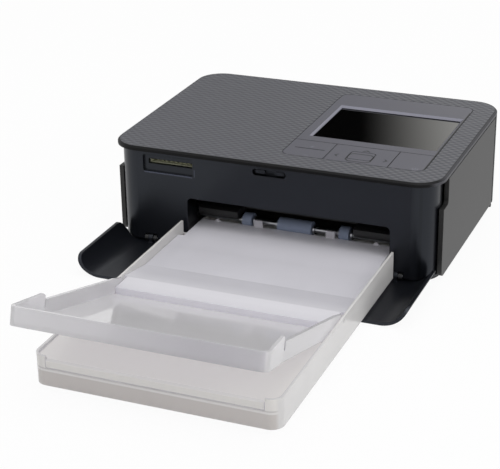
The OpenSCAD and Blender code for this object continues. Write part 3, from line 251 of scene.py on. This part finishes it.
# Solder mask is a deep green with a half-glossy sheen.
green = grained("green_solder_mask", "1d5a33", 0.35, grain_mm=1.0)
for name in ("main_board", "card_board", "key_board"):
    dress(name, green)
# The module's frame is plain grey, and the socket's resin is a dull yellowish white.
dress("lcd_module", grained("display_steel_frame", "8b8e92", 0.45))
dress("card_socket", grained("socket_lcp_and_contacts", "c8c8ae", 0.5))


# Rear panel and side panels: grey ABS, moulded with a fine spark-eroded grain. The rear one wraps
# round its corners. The right side is the ribbon's door, on two moulded pins at its rear edge.
def facing(tree, place, way, low, high):
    """How far the surface turns towards a direction: 0 below low, 1 above high."""
    turned = add(tree, "ShaderNodeVectorMath", {0: (place, "Normal"), 1: way},
        operation="DOT_PRODUCT")
    return add(tree, "ShaderNodeMapRange", {"Value": (turned, "Value"), "From Min": low,
        "From Max": high})


def turned_to(way, low=0.6, high=0.8):
    """The function of a mask on the faces that turn towards a direction."""
    return lambda tree, place, edge: facing(tree, place, way, low, high)


to_front, to_right, to_top, to_floor = (0, -1, 0), (1, 0, 0), (0, 0, 1), (0, 0, -1)

# The fine grain spreads the highlight over the whole side. Their front ends lie in the fascia's
# shadow.
side_abs = grained("dark_grey_abs_sides", "232323", 0.48, grain_mm=0.45, depth_mm=0.015,
    edge_mm=0.35, tones=[(turned_to(to_front), 0.1)])
dress("left_side_panel", side_abs)
dress("ink_door", side_abs)
# The rear is of the same plastic, one shade paler.
dress("rear_panel", grained("dark_grey_abs_rear", "303134", 0.5, grain_mm=0.45, depth_mm=0.015))


# Fascia: the black ABS front, moulded in one piece with the mouth, the card recess and the latch
# slot. Its ends wrap round both front corners.
def turned_edge(tree, place, edge):
    """A mask on the rounded edges, where the smooth normal leaves the face's own."""
    flat = add(tree, "ShaderNodeNewGeometry")
    alike = add(tree, "ShaderNodeVectorMath", {0: (edge, 0), 1: (flat, "True Normal")},
        operation="DOT_PRODUCT")
    return add(tree, "ShaderNodeMapRange", {"Value": (alike, "Value"), "From Min": 0.995,
        "From Max": 0.95})


def both_of(tree, first, second):
    """Where both masks are: their product."""
    return add(tree, "ShaderNodeMath", {0: (first, 0), 1: (second, 0)}, operation="MULTIPLY")


def band(tree, place, axis, low, high, soft=0.15):
    """A mask between two places along an axis, in mm, with soft ends."""
    here = add(tree, "ShaderNodeSeparateXYZ", {"Vector": (place, "Object")})
    begun = add(tree, "ShaderNodeMapRange", {"Value": (here, axis),
        "From Min": (low - soft) / 1000, "From Max": (low + soft) / 1000})
    ended = add(tree, "ShaderNodeMapRange", {"Value": (here, axis),
        "From Min": (high + soft) / 1000, "From Max": (high - soft) / 1000})
    return both_of(tree, begun, ended)


def stroke(tree, flat, start, end, half):
    """A mask along the line from start to end (mm), with a soft edge."""
    span = [b - a for a, b in zip(start, end)]
    square = span[0] ** 2 + span[1] ** 2
    off = add(tree, "ShaderNodeVectorMath", {0: (flat, 0), 1: (start[0], start[1], 0)},
        operation="SUBTRACT")
    run = add(tree, "ShaderNodeVectorMath", {0: (off, 0),
        1: (span[0] / square, span[1] / square, 0)}, operation="DOT_PRODUCT")
    held = add(tree, "ShaderNodeClamp", {"Value": (run, "Value")})
    near = add(tree, "ShaderNodeVectorMath", {0: (span[0], span[1], 0), "Scale": (held, 0)},
        operation="SCALE")
    gap = add(tree, "ShaderNodeVectorMath", {0: (off, 0), 1: (near, 0)}, operation="DISTANCE")
    return add(tree, "ShaderNodeMapRange", {"Value": (gap, "Value"), "From Min": half * 1.25,
        "From Max": half * 0.75})


def strokes(tree, flat, lines, half):
    """One mask for several lines."""
    masks = [stroke(tree, flat, start, end, half) for start, end in lines]
    joined = masks[0]
    for mask in masks[1:]:
        joined = add(tree, "ShaderNodeMath", {0: (joined, 0), 1: (mask, 0)}, operation="MAXIMUM")
    return joined


def on_front(tree, place, lines, half):
    """Lines drawn on the fascia's front face, as (x, z) in mm."""
    here = add(tree, "ShaderNodeSeparateXYZ", {"Vector": (place, "Object")})
    flat = add(tree, "ShaderNodeCombineXYZ", {"X": (here, "X"), "Y": (here, "Z")})
    flat = add(tree, "ShaderNodeVectorMath", {0: (flat, 0), "Scale": 1000.0}, operation="SCALE")
    return both_of(tree, strokes(tree, flat, lines, half), band(tree, place, "Y", -64.5, -61.5))


recess_left, recess_right, recess_low, recess_high = -72.2, -43.2, 43.6, 52.4
slot_half, slot_low, slot_high = 8.2, 49.0, 53.0


def recess_shadow(tree, place, edge):
    """A painted shadow line round the card recess, and above and below the latch slot."""
    lintel = recess_high + 0.4
    return on_front(tree, place, [((recess_left, recess_low), (recess_left, recess_high)),
        ((recess_left + 0.6, lintel), (recess_right - 0.8, lintel)),
        ((recess_right, recess_low), (recess_right, recess_high)),
        ((-slot_half, slot_high), (slot_half, slot_high)),
        ((-slot_half, slot_low), (slot_half, slot_low))], 0.55)


def recess_and_latch_highlights(tree, place, edge):
    """Painted highlights: the light that the recess's sill and right end catch, and two glints on
    the latch.
    """
    sill, reveal, latch = recess_low - 0.9, recess_right + 0.7, (slot_low + slot_high) / 2
    return on_front(tree, place, [((recess_left + 0.8, sill), (recess_right - 0.8, sill)),
        ((reveal, recess_low - 0.2), (reveal, 47.0)),
        ((-7.6, latch), (-6.8, latch)), ((4.6, latch), (6.0, latch))], 0.35)


def behind_front(tree, place, edge):
    """Painted shade on everything sunk behind the fascia's front face: recess floors and the
    mouth's throat.
    """
    return both_of(tree, band(tree, place, "X", -82, 82), band(tree, place, "Y", -62.7, -30))


# Satin black ABS mirrors pale things softly at a low angle, here with a little blue. Its edges
# carry a painted highlight, a thin line of light, as do the recess's sill, its right end and two
# spots on the latch. What lies deeper than the front face is painted in shade, and so is a line
# round the card recess and above and below the latch slot.
cool_sheen = "e7efff"
dress("front_fascia", grained("satin_black_fascia", "0b0c10", 0.30, depth_mm=0.006, edge_mm=0.4,
    specular=0.42, sheen=cool_sheen, tones=[(behind_front, 0.2), (recess_shadow, 0.1),
    (recess_and_latch_highlights, 14.0), (turned_edge, 3.5)]))

# Top cover: a dark ABS rim plate, moulded with a thin edge and held by four clips. It carries the
# patterned inlay and the control panel.

# Matt ABS looks black on the rim. Its right edge is painted paler, a painted reflection of the
# bright room, and its front and underside are painted darker, as painted shade.
dress("top_cover", grained("dark_rim_abs", "141416", 0.45, depth_mm=0.004, edge_mm=0.4,
    specular=0.15, tones=[(turned_to(to_right), 9.0), (turned_to(to_front), 0.4),
    (turned_to(to_floor), 0.2)]))

# Top skin: one thin grey ABS plate that lies in the rim, with a diamond grain moulded into its
# face. The grain is drawn as a bump, and its light and shade are painted into the colour.

# Each small diamond has a painted highlight on its top and painted shade in the grooves round it.
made, tree = material("diamond_grained_top_skin")
diamond_wide, diamond_deep = 0.00524, 0.00427
place = add(tree, "ShaderNodeTexCoord")
axis = add(tree, "ShaderNodeSeparateXYZ", {"Vector": (place, "Object")})
along = add(tree, "ShaderNodeMath", {0: (axis, "X"), 1: 2 * math.pi / diamond_wide},
    operation="MULTIPLY")
across = add(tree, "ShaderNodeMath", {0: (axis, "Y"), 1: 2 * math.pi / diamond_deep},
    operation="MULTIPLY")
wave_a = add(tree, "ShaderNodeMath", {0: (along, 0)}, operation="COSINE")
wave_b = add(tree, "ShaderNodeMath", {0: (across, 0)}, operation="COSINE")
wave = both_of(tree, wave_a, wave_b)
shade = add(tree, "ShaderNodeMapRange", {"Value": (wave, 0), "From Min": -1.0, "From Max": 1.0,
    "To Min": 0.66, "To Max": 1.34})
tint = add(tree, "ShaderNodeVectorMath", {0: linear("43444a")[:3], "Scale": (shade, 0)},
    operation="SCALE")
relief = add(tree, "ShaderNodeBump", {"Height": (wave, 0), "Distance": 0.00016, "Strength": 1.0})
skin = add(tree, "ShaderNodeBsdfPrincipled", {"Base Color": (tint, 0), "Roughness": 0.5,
    "Normal": (relief, 0)})
add(tree, "ShaderNodeOutputMaterial", {"Surface": (skin, 0)})
dress("top_skin", made)


# Control panel: a satin purple-grey ABS plate with a sloped frame round the display, and keys of
# the same plastic that stand in its openings. Signs are printed or stamped on; places are in mm.
def chain(points):
    """The strokes from each point to the next."""
    return list(zip(points, points[1:]))


def chevron(tip, way, wide):
    """The two strokes of an arrowhead whose arms go 1.3 mm back and wide to each side."""
    x, y = tip[0] - 1.3 * way[0], tip[1] - 1.3 * way[1]
    return chain([(x - wide * way[1], y - wide * way[0]), tip,
        (x + wide * way[1], y + wide * way[0])])


def cut_rectangle(x, y, half_x, half_y, cut):
    """The outline of a rectangle with its corners cut off."""
    points = [(x - half_x + cut, y + half_y), (x + half_x - cut, y + half_y),
        (x + half_x, y + half_y - cut), (x + half_x, y - half_y + cut),
        (x + half_x - cut, y - half_y), (x - half_x + cut, y - half_y),
        (x - half_x, y - half_y + cut), (x - half_x, y + half_y - cut)]
    return chain(points + points[:1])


# Chevrons are stamped; the OK key's outline and the plate's seams are painted gap shade.
chevrons = (chevron((28.6, -42.1), (-1, 0), 1.5) + chevron((56.6, -42.0), (1, 0), 1.5)
    + chevron((42.6, -31.3), (0, 1), 1.6) + chevron((42.6, -52.1), (0, -1), 1.6))
ok_outline = cut_rectangle(42.1, -42.6, 6.6, 5.4, 1.9)
plate_seams = [((77.9, -47.0), (77.9, 44.0)), ((6.0, -52.8), (72.0, -52.8))]
plus_sign = [((12.4, -35.0), (14.6, -35.0)), ((13.5, -36.1), (13.5, -33.9))]
minus_sign = [((13.4, -48.0), (15.6, -48.0))]
power_sign = [((73.2, -46.0), (73.2, -47.4))] + chain([(72.0, -46.6), (71.7, -48.0),
    (73.2, -49.0), (74.7, -48.0), (74.4, -46.6)])


def on_panel(tree, place, lines, half):
    """Lines drawn on the panel and its keys, as (x, y) in mm."""
    flat = add(tree, "ShaderNodeVectorMath", {0: (place, "Object"), 1: (1000, 1000, 0)},
        operation="MULTIPLY")
    return strokes(tree, flat, lines, half)


def chevrons_and_gap_shade(tree, place, edge):
    """The stamped chevrons, and painted shade in the gaps round the OK key and the plate."""
    return on_panel(tree, place, chevrons + ok_outline + plate_seams, 0.42)


def pale_signs(tree, place, edge):
    """The printed signs."""
    return on_panel(tree, place, plus_sign + minus_sign + power_sign, 0.3)


def upright_wall_shade(tree, place, edge):
    """Painted shade on the sides of the keys and of their openings."""
    return add(tree, "ShaderNodeMath", {0: 1.0, 1: (facing(tree, place, to_top, 0.2, 0.5), 0)},
        operation="SUBTRACT")


def key_gap_shade(tree, place, edge):
    """Painted shade on the rounded rims of faces that lie flat, where the gap round a key or the
    plate begins.
    """
    return both_of(tree, turned_edge(tree, place, edge), facing(tree, place, to_top, 0.97, 0.99))


# Satin ABS has a soft highlight without a grain that could be seen. The display's frame slopes
# towards the light and carries a painted highlight that makes it paler; the gaps and the walls in
# them are painted nearly black, as painted shade.
panel_abs = grained("satin_grey_panel", "53535b", 0.42, grain_mm=0.4, depth_mm=0.006,
    edge_mm=0.45, specular=0.25, vary=0.04, tones=[(turned_to((0.8, -0.6, 0), 0.10, 0.25), 2.5),
    (upright_wall_shade, 0.06), (chevrons_and_gap_shade, 0.06), (pale_signs, 1.6), (key_gap_shade, 0.06)])
for name in ("control_panel", "left_key", "direction_pad", "ok_key", "power_key"):
    dress(name, panel_abs)
# Polished glass over a dark display is black, and mirrors what stands behind the printer.
dress("lcd_glass", grained("black_display_glass", "060606", 0.04, grain_mm=4.0, depth_mm=0.0,
    edge_mm=0.05, specular=0.6))

# Front cover: a black ABS flap with turned-up wings, moulded in one piece. It hangs on two steel
# pins and lies folded down under the cassette.

# It has the fascia's plastic and its bluish sheen, a little duller.
dress("front_cover", grained("satin_black_cover", "0c0d11", 0.34, depth_mm=0.008, edge_mm=0.5,
    specular=0.42, sheen=cool_sheen))


# Cassette: a base, a sheet over the paper and a tilting output tray, thin mouldings of
# polypropylene. The base slides into the mouth, and the tray hangs on it by its pins.
def frosted(name, colour, clearness, gloss, bands):
    """Frosted polypropylene: soft scatter on both sides under a faint gloss, partly clear, clearer
    for light than for the eye, with a painted highlight on its edges. A band is (way its faces
    turn, axis, from, to, softness, colour), in mm."""
    made, tree = material(name)
    place = add(tree, "ShaderNodeTexCoord")
    edge = add(tree, "ShaderNodeBevel", {"Radius": 0.0006}, samples=4)
    tint = clouded(tree, place, colour, 33.3, 3.0, 0.03)
    for way, axis, low, high, soft, shade in bands:
        part = both_of(tree, facing(tree, place, way, 0.6, 0.8),
            band(tree, place, axis, low, high, soft))
        # Sockets 6 and 7 are the colours that go in, and 2 is the one that comes out.
        tint = (add(tree, "ShaderNodeMix", {0: (part, 0), 6: tint, 7: linear(shade)},
            data_type="RGBA"), 2)
    # A painted highlight makes the rounded edges paler.
    tint = toned(tree, tint, turned_edge(tree, place, edge), 1.12)
    relief = roughened(tree, place, edge, 0.556, 0.006, 0.4)
    face = add(tree, "ShaderNodeBsdfDiffuse", {"Color": tint, "Normal": (relief, 0)})
    through = add(tree, "ShaderNodeBsdfTranslucent", {"Color": tint, "Normal": (relief, 0)})
    body = add(tree, "ShaderNodeMixShader", {0: 0.2, 1: (face, 0), 2: (through, 0)})
    seen = add(tree, "ShaderNodeLightPath")
    cast = add(tree, "ShaderNodeMath", {0: (seen, "Is Shadow Ray"), 1: (seen, "Is Diffuse Ray")},
        operation="MAXIMUM")
    let = add(tree, "ShaderNodeMapRange", {"Value": (cast, 0), "To Min": clearness,
        "To Max": 0.85})
    clear = add(tree, "ShaderNodeBsdfTransparent", {"Color": linear("f2f1f4")})
    core = add(tree, "ShaderNodeMixShader", {0: (let, 0), 1: (body, 0), 2: (clear, 0)})
    glance = add(tree, "ShaderNodeFresnel", {"IOR": 1.49, "Normal": (edge, 0)})
    coat = add(tree, "ShaderNodeMapRange", {"Value": (cast, 0), "To Min": 0.85, "To Max": 0.0})
    shine = add(tree, "ShaderNodeBsdfAnisotropic", {"Color": linear("ffffff"),
        "Roughness": gloss, "Normal": (edge, 0)})
    both = add(tree, "ShaderNodeMixShader", {0: (both_of(tree, glance, coat), 0), 1: (core, 0),
        2: (shine, 0)})
    add(tree, "ShaderNodeOutputMaterial", {"Surface": (both, 0)})
    return made


# The base looks milky white. Its front wall is a warm grey low down, then has a pale line and a
# thin line of shade, and is whiter above them.
dress("cassette_base", frosted("frosted_polypropylene_base", "ebeae8", 0.15, 0.22, [
    (to_front, "Z", 0.0, 11.0, 0.3, "dad5d0"), (to_front, "Z", 11.0, 11.9, 0.2, "f2f0ed"),
    (to_front, "Z", 12.0, 12.6, 0.2, "d6d3cf"), (to_front, "Z", 12.8, 30.0, 0.3, "f3f1ec")]))
# The lid lets the least through. It is greyer than the base, and painted paler at its front, on
# its ramp and near the mouth, as painted light.
dress("inner_lid", frosted("frosted_polypropylene_lid", "d9d8de", 0.06, 0.25, [
    (to_top, "Y", -240, -160, 3.0, "f2f0eb"), (to_top, "Y", -148, -130, 5.0, "e4e3e8"),
    (to_top, "Y", -75, -40, 12.0, "f4f3fa"), (to_front, "Y", -240, -200, 3.0, "efede8"),
    (to_front, "Y", -160, -130, 3.0, "fbfaff")]))
# The tray is the clearest, with a gloss that mirrors the printer faintly. What faces the front is
# greyer towards the right.
dress("output_tray", frosted("frosted_polypropylene_tray", "ecebec", 0.33, 0.07, [
    (to_front, "X", -5, 90, 40.0, "cccacf")]))

# Paper: a stack of postcard-sized sheets with a coated face, which lies in the cassette under the
# lid.

# The coating is a clean white with a soft sheen.
dress("paper_stack", grained("coated_photo_paper", "f1f0ec", 0.4))
